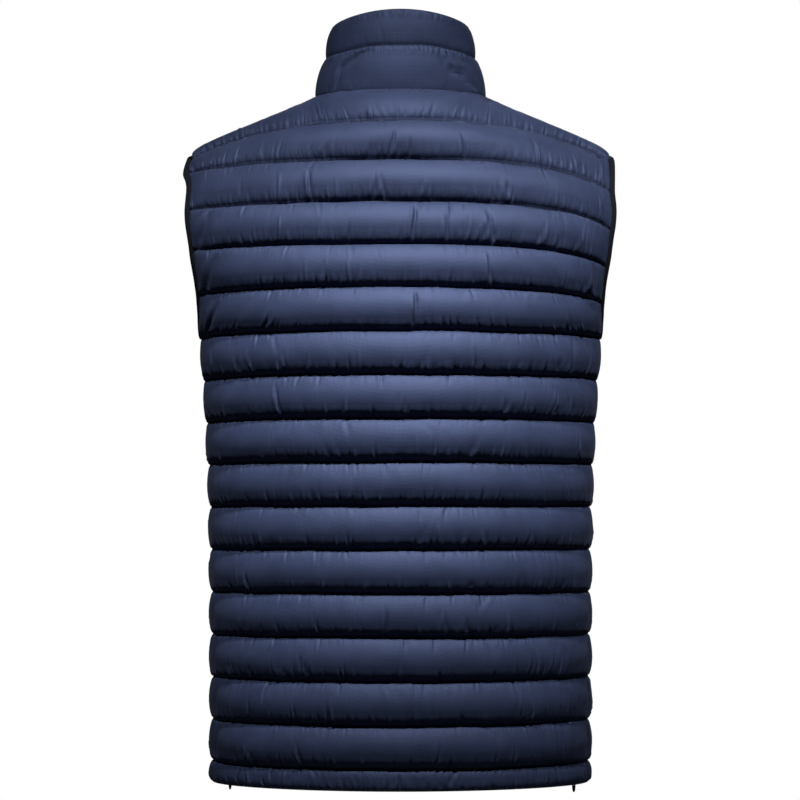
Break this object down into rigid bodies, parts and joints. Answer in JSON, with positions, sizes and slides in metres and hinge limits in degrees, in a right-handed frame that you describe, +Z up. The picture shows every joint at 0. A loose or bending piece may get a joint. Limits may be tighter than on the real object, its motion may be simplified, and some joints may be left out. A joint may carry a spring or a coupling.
{
  "type": "quilted vest",
  "caption": "Light padded vest with horizontal quilting, a stand-up collar, bound armholes, a zipped front and an elastic hem cord, filled out as worn.",
  "frame": {"origin": "midway between the two neck points, where the shoulder seams meet the collar: the wearer's shoulders and neck hold the vest there", "axes": "+Z up, towards the collar; the front with the zip faces -Y and the back +Y; +X is the wearer's left"},
  "size_m": [0.4453, 0.2848, 0.7963],
  "materials": {
    "shell_cloth": "satin nylon ripstop, deep navy",
    "binding": "matt ribbed elastic, near black",
    "zip_tape": "matt woven tape, navy",
    "zip_teeth": "nylon coil, dark navy",
    "zip_metal": "satin black paint",
    "elastic_cord": "matt braided elastic, black"
  },
  "bodies": {
    "vest": {"back": "shell_cloth", "front_left": "shell_cloth", "front_right": "shell_cloth", "collar": "shell_cloth", "armhole_binding_left": "binding", "armhole_binding_right": "binding", "zip_tape_left": "zip_tape", "zip_tape_right": "zip_tape", "zip_chain": "zip_teeth", "zip_slider": "zip_metal", "hem_cord_left": "elastic_cord", "hem_cord_right": "elastic_cord"},
    "pull": {"zip_pull": "zip_metal"}
  },
  "joints": [
    {"name": "pull_hinge", "type": "hinge", "parent": "vest", "child": "pull", "pos_m": [0, -0.07547, 0.02243], "axis": [-1, 0, 0], "range_deg": [0, 160]}
  ]
}
